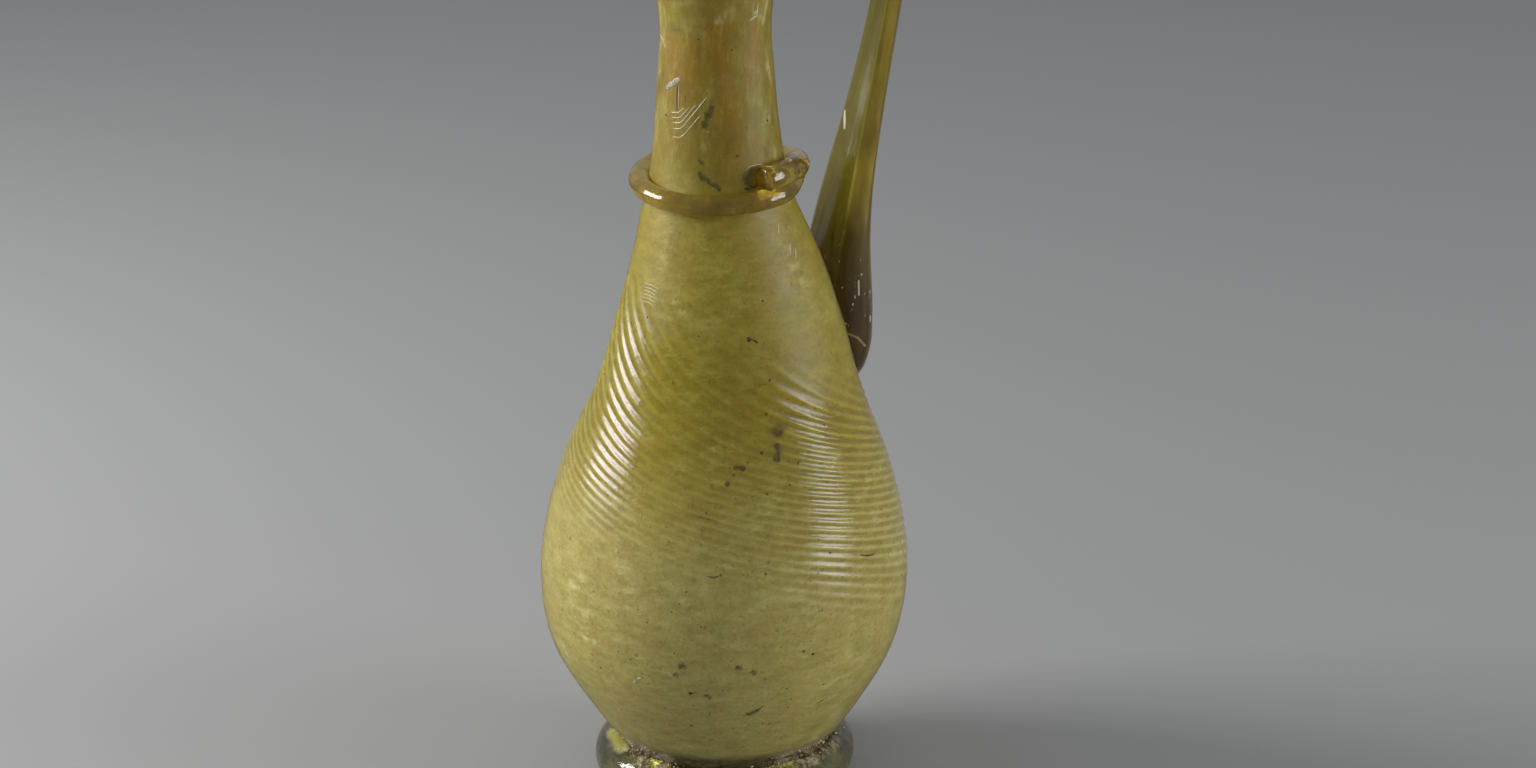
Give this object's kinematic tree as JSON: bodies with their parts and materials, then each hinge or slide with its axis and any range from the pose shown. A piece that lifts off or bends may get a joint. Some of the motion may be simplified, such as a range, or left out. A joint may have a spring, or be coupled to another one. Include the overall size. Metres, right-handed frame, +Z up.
{
  "type": "ribbed flask",
  "caption": "Free-blown glass jug with a pear-shaped twisted-ribbed body, a tapering neck with a wound collar, a tall strap handle and a coil foot.",
  "frame": {"origin": "on the surface the foot stands on, under the middle of the whole outline; the vessel's own axis is 2.2 mm towards -X", "axes": "+Z up along the vessel's axis, +X towards the handle"},
  "size_m": [0.0944, 0.0897, 0.2215],
  "materials": {
    "body_glass": "weathered yellow-olive glass, dulled by a milky film",
    "collar_glass": "clear amber-brown glass, glossy",
    "handle_glass": "olive glass darkening to brown at the shoulder",
    "foot_glass": "clear grey-olive glass with crusts of dirt"
  },
  "bodies": {
    "root": {"body": "body_glass", "neck_collar": "collar_glass", "handle": "handle_glass", "foot_ring": "foot_glass"}
  },
  "joints": []
}
